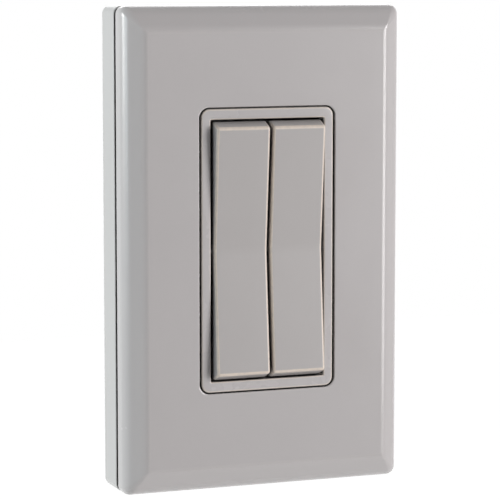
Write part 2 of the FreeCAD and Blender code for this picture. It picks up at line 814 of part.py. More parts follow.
subParts = [
    buildBackFrame(),
    buildWallPlate(),
    buildBezelFrame(),
    buildRocker("rocker_left", -1),
    buildRocker("rocker_right", 1),
    buildAxle(),
    buildModuleBase(),
    buildModuleCover(),
    buildCircuitBoard(),
    buildChip(),
    buildCapacitor(),
    buildAntenna(),
    buildContactMat(),
    buildEnergyBow(),
    *buildMagnetBlock(),
    buildBowSpring(),
    buildCore(),
    buildBobbin(),
    buildWinding(),
]
for levelName, level in (("upper", 1), ("lower", -1)):
    for sideName, side in (("left", -1), ("right", 1)):
        subParts.append(buildPushPin(f"push_pin_{levelName}_{sideName}", side, level))

doc.recompute()
failed = [thing.Name for thing in doc.Objects if {"Invalid", "Error"} & set(thing.State)]
if failed:
    raise RuntimeError("features failed: " + ", ".join(failed))
for part in subParts:
    if part.Shape.isNull() or not part.Shape.isValid() or len(part.Shape.Solids) != 1:
        raise RuntimeError(f"{part.Label}: the shape is not one valid solid")

os.makedirs("parts", exist_ok=True)
for part in subParts:
    part.Shape.exportStep(os.path.join("parts", part.Label + ".step"))
    print(part.Label, round(part.Shape.Volume, 2), "cubic millimetres")
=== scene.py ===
import math

import bmesh
import bpy
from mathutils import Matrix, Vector


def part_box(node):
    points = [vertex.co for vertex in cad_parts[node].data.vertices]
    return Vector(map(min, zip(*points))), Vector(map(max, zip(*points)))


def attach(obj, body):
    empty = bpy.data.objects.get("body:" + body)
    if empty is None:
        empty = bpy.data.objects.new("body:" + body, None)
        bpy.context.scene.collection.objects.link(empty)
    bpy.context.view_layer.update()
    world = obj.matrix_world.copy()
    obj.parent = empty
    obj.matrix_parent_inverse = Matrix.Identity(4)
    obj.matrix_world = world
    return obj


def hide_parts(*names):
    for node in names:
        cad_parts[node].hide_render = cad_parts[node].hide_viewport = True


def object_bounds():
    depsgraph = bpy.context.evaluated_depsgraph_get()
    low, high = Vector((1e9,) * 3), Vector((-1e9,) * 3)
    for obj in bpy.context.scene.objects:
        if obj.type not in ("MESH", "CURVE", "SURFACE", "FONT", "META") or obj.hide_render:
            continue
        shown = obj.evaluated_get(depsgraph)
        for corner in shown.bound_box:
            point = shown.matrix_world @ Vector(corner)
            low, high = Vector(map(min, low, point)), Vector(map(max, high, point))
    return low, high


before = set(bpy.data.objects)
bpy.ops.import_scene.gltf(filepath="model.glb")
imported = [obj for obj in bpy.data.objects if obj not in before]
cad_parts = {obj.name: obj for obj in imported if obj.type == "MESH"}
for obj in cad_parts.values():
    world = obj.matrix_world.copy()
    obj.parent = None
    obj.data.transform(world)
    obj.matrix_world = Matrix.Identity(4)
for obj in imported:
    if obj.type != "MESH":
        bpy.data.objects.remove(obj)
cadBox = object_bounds()
print("frame loaded:", len(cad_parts), "nodes")

mm = 0.001
scene = bpy.context.scene


def direction(azimuth, elevation):
    # azimuth 0 is straight out of the wall and 90 is to the right
    turn, rise = math.radians(azimuth), math.radians(elevation)
    return Vector((math.sin(turn) * math.cos(rise), -math.cos(turn) * math.cos(rise), math.sin(rise)))


def aim(thing, target, azimuth, elevation, distance):
    away = direction(azimuth, elevation)
    thing.location = Vector(target) + away * distance
    thing.rotation_euler = away.to_track_quat("Z", "Y").to_euler()
    scene.collection.objects.link(thing)


view = dict(azimuth=-21.3, elevation=6.6, distance=0.5975, lens=177.6, target=(0.0023, 0.0, -0.0021))


def makeCamera(view):
    camera = bpy.data.objects.new("camera", bpy.data.cameras.new("camera"))
    camera.data.lens = view["lens"]
    camera.data.sensor_width = 36
    aim(camera, view["target"], view["azimuth"], view["elevation"], view["distance"])
    scene.camera = camera


# power is in watts, and size is width by height in metres
lamps = dict(
    keyLamp=dict(azimuth=43, elevation=11, distance=1.2, size=(0.46, 0.96), power=14.3,
                 colour=(1.0, 0.985, 0.985)),
    sideLamp=dict(azimuth=-101, elevation=14, distance=1.2, size=(0.4, 0.6), power=12.6,
                  colour=(0.96, 1.0, 1.0)),
    edgeLamp=dict(azimuth=-80, elevation=8, distance=1.2, size=(0.13, 0.5), power=2.8,
                  colour=(0.82, 0.95, 1.0)),
    backLamp=dict(azimuth=160, elevation=25, distance=1.2, size=(0.8, 0.8), power=4.0,
                  colour=(1.0, 1.0, 1.0)),
)
studio = dict(fill=0.01, floorDrop=0.6, floorHalf=4.0, floorColour=(0.86, 0.85, 0.84),
              glowNear=0.93, glowFar=1.0, glowSpan=(0.2, 1.0))


def makeLamps(lamps, target):
    for name, lamp in lamps.items():
        data = bpy.data.lights.new(name, "AREA")
        data.shape = "RECTANGLE"
        data.size, data.size_y = lamp["size"]
        data.energy, data.color = lamp["power"], lamp["colour"]
        thing = bpy.data.objects.new(name, data)
        thing.visible_camera = False
        aim(thing, target, lamp["azimuth"], lamp["elevation"], lamp["distance"])


class Graph:
    # a few short calls for building a node tree
    def __init__(self, tree):
        self.tree = tree

    def feed(self, socket, value):
        if isinstance(value, bpy.types.NodeSocket):
            self.tree.links.new(value, socket)
        else:
            socket.default_value = value

    def add(self, kind, inputs=None, **settings):
        node = self.tree.nodes.new(kind if kind.startswith("NodeGroup") else "ShaderNode" + kind)
        for key, value in settings.items():
            setattr(node, key, value)
        for key, value in (inputs or {}).items():
            self.feed(node.inputs[key], value)
        return node

    def math(self, operation, *values):
        return self.add("Math", dict(enumerate(values)), operation=operation).outputs[0]

    def noise(self, vector, scale, detail=2.0, roughness=0.5):
        inputs = {"Vector": vector, "Scale": scale, "Detail": detail, "Roughness": roughness}
        return self.add("TexNoise", inputs).outputs["Fac"]

    def spread(self, value, low, high, toLow=0.0, toHigh=1.0):
        inputs = {"Value": value, "From Min": low, "From Max": high, "To Min": toLow, "To Max": toHigh}
        return self.add("MapRange", inputs).outputs["Result"]

    def mix(self, share, first, second, blend="MIX"):
        node = self.add("Mix", data_type="RGBA", blend_type=blend)
        for socket, value in ((0, share), (6, first), (7, second)):
            self.feed(node.inputs[socket], value)
        return node.outputs[2]

    def effect(self, group, **inputs):
        node = self.add("Group", node_tree=group)
        for key, value in inputs.items():
            self.feed(node.inputs[key], value)
        return node.outputs


def seenDirectly(graph):
    # 1 for what the camera sees straight, in a reflection or through glass
    path = graph.add("LightPath").outputs
    mirror = graph.math("MAXIMUM", path["Is Glossy Ray"], path["Is Transmission Ray"])
    return graph.math("MAXIMUM", path["Is Camera Ray"], mirror)


def makeWorld(studio):
    world = bpy.data.worlds.new("studio")
    scene.world = world
    world.use_nodes = True
    world.node_tree.nodes.clear()
    graph = Graph(world.node_tree)
    white = (1, 1, 1, 1)
    fill = graph.add("Background", {"Color": white, "Strength": studio["fill"]}).outputs[0]
    backdrop = graph.add("Background", {"Color": white, "Strength": 1.0}).outputs[0]
    mixed = graph.add("MixShader", {0: seenDirectly(graph), 1: fill, 2: backdrop}).outputs[0]
    graph.add("OutputWorld", {"Surface": mixed})


def makeFloor(studio):
    level = cadBox[0].z - studio["floorDrop"]
    half = studio["floorHalf"]
    bm = bmesh.new()
    bmesh.ops.create_grid(bm, x_segments=8, y_segments=8, size=half)
    floor = bpy.data.objects.new("floor", bpy.data.meshes.new("floor"))
    bm.to_mesh(floor.data)
    bm.free()
    floor.location.z = level
    scene.collection.objects.link(floor)
    material = bpy.data.materials.new("paleFloor")
    material.use_nodes = True
    material.node_tree.nodes.clear()
    graph = Graph(material.node_tree)
    colour = (*studio["floorColour"], 1)
    lit = graph.add("BsdfDiffuse", {"Color": colour}).outputs[0]
    place = graph.add("TexCoord").outputs["Object"]
    away = graph.add("VectorMath", {0: place}, operation="LENGTH").outputs["Value"]
    strength = graph.spread(away, *studio["glowSpan"], studio["glowNear"], studio["glowFar"])
    glow = graph.add("Emission", {"Color": (1, 1, 1, 1), "Strength": strength}).outputs[0]
    dark = graph.add("Emission", {"Strength": 0.0}).outputs[0]
    shown = graph.add("MixShader", {0: seenDirectly(graph), 1: dark, 2: glow}).outputs[0]
    graph.add("OutputMaterial", {"Surface": graph.add("AddShader", {0: lit, 1: shown}).outputs[0]})
    floor.data.materials.append(material)


makeCamera(view)
makeLamps(lamps, (0, 0, 0))
makeWorld(studio)
makeFloor(studio)
scene.view_settings.view_transform = "Standard"
print("camera, lamps, world and floor ready")


def newGroup(name, inputs, outputs):
    group = bpy.data.node_groups.new(name, "ShaderNodeTree")
    for label, value in inputs.items():
        socket = group.interface.new_socket(label, in_out="INPUT", socket_type="NodeSocketFloat")
        socket.default_value = value
    for label in outputs:
        group.interface.new_socket(label, in_out="OUTPUT", socket_type="NodeSocketFloat")
    graph = Graph(group)
    return group, graph, graph.add("NodeGroupInput").outputs, graph.add("NodeGroupOutput").inputs


def makeMouldGrain():
    # the fine spark-eroded grain of a mould, its faint flow clouds and the gloss that varies with them
    inputs = {"Scale": 2600.0, "Clouds": 28.0}
    group, graph, given, out = newGroup("mouldGrain", inputs, ("Height", "Tone", "Gloss"))
    place = graph.add("TexCoord").outputs["Object"]
    fine = graph.noise(place, given["Scale"], 3.0, 0.6)
    broad = graph.noise(place, graph.math("MULTIPLY", given["Scale"], 0.12), 2.0)
    height = graph.math("ADD", graph.math("MULTIPLY", fine, 0.7), graph.math("MULTIPLY", broad, 0.3))
    clouds = graph.noise(place, given["Clouds"], 2.0, 0.45)
    flow = graph.noise(place, graph.math("MULTIPLY", given["Clouds"], 4.0), 3.0, 0.6)
    graph.feed(out["Height"], height)
    tone = graph.math("ADD", graph.math("MULTIPLY", clouds, 0.6), graph.math("MULTIPLY", fine, 0.4))
    graph.feed(out["Tone"], tone)
    graph.feed(out["Gloss"], graph.spread(flow, 0.15, 0.85))
    return group


def makeEdgeRubAndSheen():
    # pale rolled and sharp edges, broken up by noise: a little real rub from handling on most parts, and a
    # painted highlight where a material gives them a strong cream colour
    inputs = {"Radius": 0.0004, "Breakup": 900.0, "Reach": 0.12}
    group, graph, given, out = newGroup("edgeRubAndSheen", inputs, ("Mask",))
    rounded = graph.add("Bevel", {"Radius": given["Radius"]}, samples=4).outputs[0]
    normal = graph.add("NewGeometry").outputs["Normal"]
    turn = graph.add("VectorMath", {0: rounded, 1: normal}, operation="DOT_PRODUCT").outputs["Value"]
    sharp = graph.spread(turn, 1.0, graph.math("SUBTRACT", 1.0, given["Reach"]), 0.0, 0.6)
    rolled = graph.add("Attribute", attribute_name="edgeWearAndSheen").outputs["Fac"]
    edge = graph.math("MAXIMUM", sharp, rolled)
    patches = graph.noise(graph.add("TexCoord").outputs["Object"], given["Breakup"], 2.0)
    graph.feed(out["Mask"], graph.math("MULTIPLY", edge, graph.spread(patches, 0.25, 0.6, 0.7, 1.0)))
    return group


def makeDustSettle():
    # a little dust on what faces up and in tight corners
    inputs = {"Scale": 1800.0, "Reach": 0.002}
    group, graph, given, out = newGroup("dustSettle", inputs, ("Mask",))
    up = graph.add("SeparateXYZ", {0: graph.add("NewGeometry").outputs["Normal"]}).outputs["Z"]
    clear = graph.add("AmbientOcclusion", {"Distance": given["Reach"]}, samples=4).outputs["AO"]
    corner = graph.spread(clear, 0.9, 0.4)
    lying = graph.math("MAXIMUM", graph.spread(up, 0.35, 0.9), graph.math("MULTIPLY", corner, 0.6))
    specks = graph.noise(graph.add("TexCoord").outputs["Object"], given["Scale"], 3.0, 0.65)
    graph.feed(out["Mask"], graph.math("MULTIPLY", lying, graph.spread(specks, 0.4, 0.7)))
    return group


def makePaintedGapShade():
    # painted shade: the colour darkened in narrow gaps, seams and crevices, where little light comes back
    # out
    inputs = {"Reach": 0.0014, "Start": 0.42, "Full": 0.16}
    group, graph, given, out = newGroup("gapShade", inputs, ("Mask",))
    clear = graph.add("AmbientOcclusion", {"Distance": given["Reach"]}, samples=12).outputs["AO"]
    graph.feed(out["Mask"], graph.spread(clear, given["Start"], given["Full"]))
    return group


def makeMetalBrush():
    # fine parallel scratches of rolled or brushed metal
    inputs = {"Scale": 900.0, "Stretch": 0.05}
    group, graph, given, out = newGroup("metalBrush", inputs, ("Height", "Tone", "Gloss"))
    place = graph.add("TexCoord").outputs["Object"]
    scale = graph.add("CombineXYZ", {"X": 1.0, "Y": 1.0, "Z": given["Stretch"]}).outputs[0]
    lines = graph.add("VectorMath", {0: place, 1: scale}, operation="MULTIPLY").outputs[0]
    scratch = graph.noise(lines, given["Scale"], 4.0, 0.7)
    clouds = graph.noise(place, graph.math("MULTIPLY", given["Scale"], 0.15), 2.0)
    graph.feed(out["Height"], scratch)
    tone = graph.math("ADD", graph.math("MULTIPLY", scratch, 0.4), graph.math("MULTIPLY", clouds, 0.6))
    graph.feed(out["Tone"], tone)
    graph.feed(out["Gloss"], graph.spread(scratch, 0.3, 0.7))
    return group


mouldGrain, edgeRubAndSheen, dustSettle = makeMouldGrain(), makeEdgeRubAndSheen(), makeDustSettle()
gapShade, metalBrush = makePaintedGapShade(), makeMetalBrush()
print("surface effects ready")


def tint(red, green, blue):
    # display values from 0 to 255, as a shader colour
    def linear(value):
        share = value / 255
        return share / 12.92 if share <= 0.04045 else ((share + 0.055) / 1.055) ** 2.4
    return (linear(red), linear(green), linear(blue), 1)


def shade(colour, factor):
    return (*(part * factor for part in colour[:3]), 1)


def newMaterial(name, **surface):
    material = bpy.data.materials.new(name)
    material.use_nodes = True
    graph = Graph(material.node_tree)
    shader = material.node_tree.nodes["Principled BSDF"].inputs
    for key, value in surface.items():
        shader[key.replace("_", " ")].default_value = value
    return material, graph, shader


# the first colour is real dust, the second is painted shade for narrow gaps
dustColour, gapColour = tint(205, 200, 192), tint(34, 28, 24)


def mouldedPlastic(name, look):
    material, graph, shader = newMaterial(name, IOR=look.get("ior", 1.5))
    grain = graph.effect(mouldGrain, Scale=look["grainScale"])
    rubAndSheen = graph.effect(edgeRubAndSheen, Radius=look["rubAndSheenRadius"])["Mask"]
    dust = graph.effect(dustSettle)["Mask"]
    base = look["colour"]
    spreadTone = graph.spread(grain["Tone"], 0.35, 0.65)
    colour = graph.mix(spreadTone, shade(base, 1 - look["tone"]), shade(base, 1 + look["tone"]))
    # pale edges: a little real rub, and on the bezel and rockers a painted highlight in cream
    colour = graph.mix(graph.math("MULTIPLY", rubAndSheen, look["rubAndSheen"]), colour, look["rubAndSheenColour"])
    colour = graph.mix(graph.math("MULTIPLY", dust, look["dust"]), colour, dustColour)
    # painted shade: narrow gaps and crevices darkened by ambient occlusion
    gap = graph.effect(gapShade, **look.get("gap", {}))["Mask"]
    colour = graph.mix(gap, colour, gapColour)
    graph.feed(shader["Base Color"], colour)
    low, high = look["roughness"]
    rough = graph.spread(grain["Gloss"], 0, 1, low, high)
    rough = graph.math("SUBTRACT", rough, graph.math("MULTIPLY", rubAndSheen, 0.06))
    rough = graph.math("ADD", rough, graph.math("MULTIPLY", dust, look["dust"]))
    graph.feed(shader["Roughness"], rough)
    bump = graph.add("Bump", {"Strength": look["grain"], "Distance": 0.00002, "Height": grain["Height"]})
    graph.feed(shader["Normal"], bump.outputs[0])
    return material


plastics = dict(
    platePlastic=dict(colour=tint(185, 181, 181), tone=0.012, roughness=(0.22, 0.28), ior=1.52,
                      grainScale=2600, grain=0.12, dust=0.04,
                      rubAndSheenRadius=0.0005, rubAndSheen=0.12, rubAndSheenColour=tint(206, 202, 198)),
    framePlastic=dict(colour=tint(184, 182, 181), tone=0.012, roughness=(0.28, 0.34),
                      grainScale=2400, grain=0.1, dust=0.05,
                      rubAndSheenRadius=0.0004, rubAndSheen=0.12, rubAndSheenColour=tint(206, 202, 198),
                      # the settings below paint strong shade into the seam and ledges of the back frame
                      gap=dict(Reach=0.0025, Start=0.78, Full=0.58)),
    bezelPlastic=dict(colour=tint(187, 183, 183), tone=0.012, roughness=(0.24, 0.3),
                      grainScale=2600, grain=0.16, dust=0.05,
                      # the strong cream edge colour here is a painted highlight along the ring's rolled
                      # edges
                      rubAndSheenRadius=0.0004, rubAndSheen=0.6, rubAndSheenColour=tint(226, 214, 200)),
    rockerPlastic=dict(colour=tint(176, 172, 171), tone=0.014, roughness=(0.3, 0.38),
                       grainScale=2800, grain=0.22, dust=0.04,
                       # the strong cream edge colour here is a painted highlight along the rockers' rolled
                       # edges
                       rubAndSheenRadius=0.0003, rubAndSheen=0.9, rubAndSheenColour=tint(226, 212, 198),
                       # the settings below paint shade into the gaps beside and between the rockers
                       gap=dict(Reach=0.0016, Start=0.42, Full=0.2)),
    casePlastic=dict(colour=tint(206, 205, 200), tone=0.02, roughness=(0.45, 0.6),
                     grainScale=1500, grain=0.5, dust=0.06,
                     rubAndSheenRadius=0.0003, rubAndSheen=0.2, rubAndSheenColour=tint(224, 222, 216)),
    bowPlastic=dict(colour=tint(48, 48, 52), tone=0.08, roughness=(0.38, 0.5),
                    grainScale=1500, grain=0.5, dust=0.05,
                    rubAndSheenRadius=0.0003, rubAndSheen=0.3, rubAndSheenColour=tint(84, 84, 88)),
    bobbinPlastic=dict(colour=tint(34, 34, 38), tone=0.1, roughness=(0.35, 0.5),
                       grainScale=1500, grain=0.5, dust=0.05,
                       rubAndSheenRadius=0.0002, rubAndSheen=0.3, rubAndSheenColour=tint(70, 70, 74)),
    pinPlastic=dict(colour=tint(226, 224, 216), tone=0.02, roughness=(0.28, 0.4),
                    grainScale=3000, grain=0.3, dust=0.03,
                    rubAndSheenRadius=0.0002, rubAndSheen=0.2, rubAndSheenColour=tint(236, 234, 228)),
    chipPlastic=dict(colour=tint(26, 27, 30), tone=0.12, roughness=(0.5, 0.65),
                     grainScale=4000, grain=0.7, dust=0.08,
                     rubAndSheenRadius=0.0001, rubAndSheen=0.3, rubAndSheenColour=tint(52, 53, 56)),
    greySilicone=dict(colour=tint(148, 152, 158), tone=0.05, roughness=(0.55, 0.7),
                      grainScale=2200, grain=0.5, dust=0.12,
                      rubAndSheenRadius=0.0002, rubAndSheen=0.2, rubAndSheenColour=tint(172, 176, 180)),
)

metals = dict(
    brushedSteel=dict(colour=tint(190, 190, 192), tone=0.1, roughness=(0.24, 0.42),
                      scale=1400, stretch=0.06, bump=0.25),
    springSteel=dict(colour=tint(150, 152, 160), tone=0.12, roughness=(0.2, 0.36),
                     scale=1600, stretch=0.1, bump=0.2),
    nickelPlate=dict(colour=tint(206, 202, 194), tone=0.06, roughness=(0.12, 0.24),
                     scale=700, stretch=1.0, bump=0.08),
    drawnAluminium=dict(colour=tint(212, 214, 216), tone=0.08, roughness=(0.26, 0.4),
                        scale=1800, stretch=0.04, bump=0.2),
    etchedCopper=dict(colour=tint(206, 142, 100), tone=0.14, roughness=(0.2, 0.38),
                      scale=1500, stretch=1.0, bump=0.2),
)


def brushedMetal(name, look):
    material, graph, shader = newMaterial(name, Metallic=1.0)
    brush = graph.effect(metalBrush, Scale=look["scale"], Stretch=look["stretch"])
    rubAndSheen = graph.effect(edgeRubAndSheen, Radius=0.0002)["Mask"]
    base = look["colour"]
    tone = graph.spread(brush["Tone"], 0.3, 0.7)
    colour = graph.mix(tone, shade(base, 1 - look["tone"]), shade(base, 1 + look["tone"]))
    graph.feed(shader["Base Color"], graph.mix(graph.math("MULTIPLY", rubAndSheen, 0.3), colour, shade(base, 1.2)))
    graph.feed(shader["Roughness"], graph.spread(brush["Gloss"], 0, 1, *look["roughness"]))
    bump = graph.add("Bump", {"Strength": look["bump"], "Distance": 0.00001, "Height": brush["Height"]})
    graph.feed(shader["Normal"], bump.outputs[0])
    return material


board = dict(mask=tint(28, 92, 58), trace=tint(52, 128, 84), pad=tint(214, 206, 190),
             spacing=1400, padPitch=620, roughness=(0.3, 0.42), bump=0.4)
# light and dark are lit and shaded tints of the same copper, painted across each turn
winding = dict(light=tint(196, 112, 66), dark=tint(112, 52, 28),
               turns=2400, roughness=(0.22, 0.34), bump=0.7)


def printedBoard(name, look):
    # solder mask over copper traces, with tinned pads
    material, graph, shader = newMaterial(name, IOR=1.5)
    place = graph.add("TexCoord").outputs["Object"]
    across, up = (graph.add("TexWave", {"Vector": place, "Scale": look["spacing"], "Distortion": 0.0},
                            bands_direction=axis).outputs["Fac"] for axis in ("X", "Z"))
    region = graph.spread(graph.noise(place, 190.0, 1.0), 0.49, 0.51)
    lines = graph.spread(graph.mix(region, across, up), 0.72, 0.8)
    routed = graph.spread(graph.noise(place, 320.0, 1.0), 0.5, 0.54)
    traces = graph.math("MULTIPLY", lines, routed)
    cells = graph.add("TexVoronoi", {"Vector": place, "Scale": look["padPitch"], "Randomness": 0.2})
    spots = graph.spread(cells.outputs["Distance"], 0.2, 0.16)
    pads = graph.math("MULTIPLY", spots, graph.spread(graph.noise(place, 140.0, 1.0), 0.56, 0.58))
    rubAndSheen = graph.effect(edgeRubAndSheen, Radius=0.0002)["Mask"]
    colour = graph.mix(traces, look["mask"], look["trace"])
    colour = graph.mix(graph.math("MULTIPLY", rubAndSheen, 0.4), colour, tint(150, 150, 104))
    graph.feed(shader["Base Color"], graph.mix(pads, colour, look["pad"]))
    graph.feed(shader["Metallic"], pads)
    grain = graph.effect(mouldGrain, Scale=1800.0)
    graph.feed(shader["Roughness"], graph.spread(grain["Gloss"], 0, 1, *look["roughness"]))
    height = graph.math("ADD", graph.math("MULTIPLY", traces, 0.6), graph.math("MULTIPLY", pads, 0.8))
    bump = graph.add("Bump", {"Strength": look["bump"], "Distance": 0.00004, "Height": height})
    graph.feed(shader["Normal"], bump.outputs[0])
    return material


def woundWire(name, look):
    # lacquered wire laid turn beside turn round the bobbin; the dark and light copper mixed across each
    # turn are painted shade between turns and a painted highlight on them
    material, graph, shader = newMaterial(name, Metallic=0.85)
    place = graph.add("TexCoord").outputs["Object"]
    inputs = {"Vector": place, "Scale": look["turns"],
              "Distortion": 0.6, "Detail": 1.0, "Detail Scale": 0.4}
    turns = graph.add("TexWave", inputs, bands_direction="X").outputs["Fac"]
    brush = graph.effect(metalBrush, Scale=1100.0, Stretch=1.0)
    lit = graph.math("MULTIPLY", turns, graph.spread(brush["Tone"], 0.3, 0.7, 0.8, 1.0))
    graph.feed(shader["Base Color"], graph.mix(lit, look["dark"], look["light"]))
    graph.feed(shader["Roughness"], graph.spread(brush["Gloss"], 0, 1, *look["roughness"]))
    bump = graph.add("Bump", {"Strength": look["bump"], "Distance": 0.00006, "Height": turns})
    graph.feed(shader["Normal"], bump.outputs[0])
    return material


materials = {name: mouldedPlastic(name, look) for name, look in plastics.items()}
materials.update({name: brushedMetal(name, look) for name, look in metals.items()})
materials["greenBoard"] = printedBoard("greenBoard", board)
materials["copperWinding"] = woundWire("copperWinding", winding)
print("materials:", len(materials))


def roundedLoop(halfX, halfZ, radius, steps):
    # anticlockwise from the right, with the same number of points whatever the size
    points = []
    for signX, signZ, start in ((1, 1, 0), (-1, 1, 90), (-1, -1, 180), (1, -1, 270)):
        for i in range(steps + 1):
            angle = math.radians(start + 90 * i / steps)
            across = signX * (halfX - radius) + radius * math.cos(angle)
            points.append((across, signZ * (halfZ - radius) + radius * math.sin(angle)))
    return points


def rollOver(points, steps, closed=True):
    # replace each corner of a path by an arc that starts roll before it; a point is (numbers, roll)
    path = []
    for i, (numbers, roll) in enumerate(points):
        here = Vector(numbers)
        if not roll or (not closed and i in (0, len(points) - 1)):
            path.append(here)
            continue
        before, after = Vector(points[i - 1][0]) - here, Vector(points[(i + 1) % len(points)][0]) - here
        flat = [Vector((way[0], way[-2])).length for way in (before, after)]
        start, end = here + before * roll / flat[0], here + after * roll / flat[1]
        sharp = Vector((before[0], before[-2])).angle(Vector((after[0], after[-2])))
        weight = math.sin(sharp / 2)
        for k in range(steps + 1):
            t = k / steps
            a, b, c = (1 - t) ** 2, 2 * weight * t * (1 - t), t ** 2
            path.append((start * a + here * b + end * c) / (a + b + c))
    return path


def loft(bm, path, steps):
    # a closed tube of rounded rectangles; each is (halfX, halfZ, depth, cornerRadius) in millimetres
    rings = []
    for halfX, halfZ, depth, radius in path:
        loop = roundedLoop(halfX, halfZ, radius, steps)
        rings.append([bm.verts.new((x * mm, -depth * mm, z * mm)) for x, z in loop])
    count = len(rings[0])
    for i, ring in enumerate(rings):
        onward = rings[(i + 1) % len(rings)]
        for j in range(count):
            k = (j + 1) % count
            bm.faces.new((ring[j], ring[k], onward[k], onward[j]))


def prism(bm, profile, left, right):
    # a profile of (depth, z) points in millimetres, drawn out from left to right
    ends = [[bm.verts.new((x * mm, -depth * mm, z * mm)) for depth, z in profile] for x in (left, right)]
    count = len(profile)
    faces = [bm.faces.new(ends[0]), bm.faces.new(reversed(ends[1]))]
    for i in range(count):
        k = (i + 1) % count
        faces.append(bm.faces.new((ends[0][i], ends[1][i], ends[1][k], ends[0][k])))
    return faces


def block(bm, across, depth, up, roll):
    # a small block with rolled edges
    corners = [(depth[0], up[0]), (depth[1], up[0]), (depth[1], up[1]), (depth[0], up[1])]
    faces = prism(bm, corners, *across)
    edges = list({edge for face in faces for edge in face.edges})
    bmesh.ops.bevel(bm, geom=edges, offset=roll * mm, segments=2, profile=0.5, affect="EDGES")


def smoothShade(mesh, sharpAngle=32):
    bm = bmesh.new()
    bm.from_mesh(mesh)
    bmesh.ops.recalc_face_normals(bm, faces=bm.faces)
    limit = math.radians(sharpAngle)
    for edge in bm.edges:
        edge.smooth = len(edge.link_faces) == 2 and edge.calc_face_angle() < limit
    for face in bm.faces:
        face.smooth = True
    bm.to_mesh(mesh)
    bm.free()


def markEdgeWearAndSheen(mesh, width):
    # 1 on the points of rolled edges, whose faces are all narrower than width, and 0 elsewhere; it feeds
    # the pale edges, partly real rub and partly painted highlight
    bm = bmesh.new()
    bm.from_mesh(mesh)
    narrow = [2 * face.calc_area() / face.calc_perimeter() < width * mm for face in bm.faces]
    wearAndSheen = [float(all(narrow[face.index] for face in vert.link_faces)) for vert in bm.verts]
    bm.free()
    mesh.attributes.new("edgeWearAndSheen", "FLOAT", "POINT").data.foreach_set("value", wearAndSheen)


def makePiece(name, bm, material, body, slot, *nodes, wearAndSheenWidth=0.12):
    mesh = bpy.data.meshes.new(name)
    bm.to_mesh(mesh)
    bm.free()
    smoothShade(mesh)
    markEdgeWearAndSheen(mesh, wearAndSheenWidth)
    piece = bpy.data.objects.new(name, mesh)
    scene.collection.objects.link(piece)
    mesh.materials.append(materials[material])
    normals = piece.modifiers.new("evenShading", "WEIGHTED_NORMAL")
    normals.keep_sharp = True
    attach(piece, body)
    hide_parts(*nodes)
    return piece


plate = dict(corner=2.0, rear=9.9, bevelDepth=14.45, bevelSide=4.3, bevelEnd=5.05, wall=1.6, front=2.0,
             openingX=17.1, openingZ=33.65, openingCorner=2.5,
             band=(0.9, 0.2), bandCorner=0.5, creaseCorner=0.3, backCorner=0.5, insideCorner=0.6,
             rimRoll=0.25, ridgeRoll=2.2, bandRoll=0.8, creaseRoll=0.45, openingRoll=0.25,
             snapLevel=30.0, snapHalf=4.0, snapDepth=(10.1, 11.1),
             snapProud=0.4, snapRoot=0.2, snapRoll=0.1)


def makePlate(plate):
    low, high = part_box("wall_plate")
    halfX, halfZ, face = high.x / mm, high.z / mm, -low.y / mm
    wall, back = plate["wall"], face - plate["front"]
    creaseX, creaseZ = halfX - plate["bevelSide"], halfZ - plate["bevelEnd"]
    across, fall = plate["band"]
    gapX, gapZ, gapCorner = plate["openingX"], plate["openingZ"], plate["openingCorner"]
    section = [
        ((halfX, halfZ, plate["rear"], plate["corner"]), plate["rimRoll"]),
        ((halfX, halfZ, plate["bevelDepth"], plate["corner"]), plate["ridgeRoll"]),
        ((creaseX, creaseZ, face - fall, plate["bandCorner"]), plate["bandRoll"]),
        ((creaseX - across, creaseZ - across, face, plate["creaseCorner"]), plate["creaseRoll"]),
        ((gapX, gapZ, face, gapCorner), plate["openingRoll"]),
        ((gapX, gapZ, back, gapCorner), 0),
        ((creaseX - wall, creaseZ - wall, back, plate["backCorner"]), 0),
        ((halfX - wall, halfZ - wall, plate["bevelDepth"] - wall / 2, plate["insideCorner"]), 0),
        ((halfX - wall, halfZ - wall, plate["rear"], plate["insideCorner"]), 0),
    ]
    bm = bmesh.new()
    loft(bm, rollOver(section, 10), 10)
    inside = halfX - wall
    for side in (-1, 1):
        reach = sorted((side * (inside - plate["snapProud"]), side * (inside + plate["snapRoot"])))
        for level in (-plate["snapLevel"], plate["snapLevel"]):
            span = (level - plate["snapHalf"], level + plate["snapHalf"])
            block(bm, reach, plate["snapDepth"], span, plate["snapRoll"])
    return makePiece("cover_plate", bm, "platePlastic", "switch", "plate_plastic", "wall_plate")


makePlate(plate)
print("cover plate done")


bezel = dict(halfX=16.6, halfZ=33.3, corner=2.0, holeX=14.3, holeZ=30.8, holeCorner=0.35, rear=12.6,
             flange=(13.9, 15.3), flangeCorner=0.5, outerRoll=0.4, innerRoll=0.3, hiddenRoll=0.2,
             legs=(5.0, 12.0), legSpan=(33.8, 35.6), legRoot=0.2, legRear=1.6, legTip=(0.4, 0.8),
             barb=0.6, barbDepth=(5.0, 6.2))


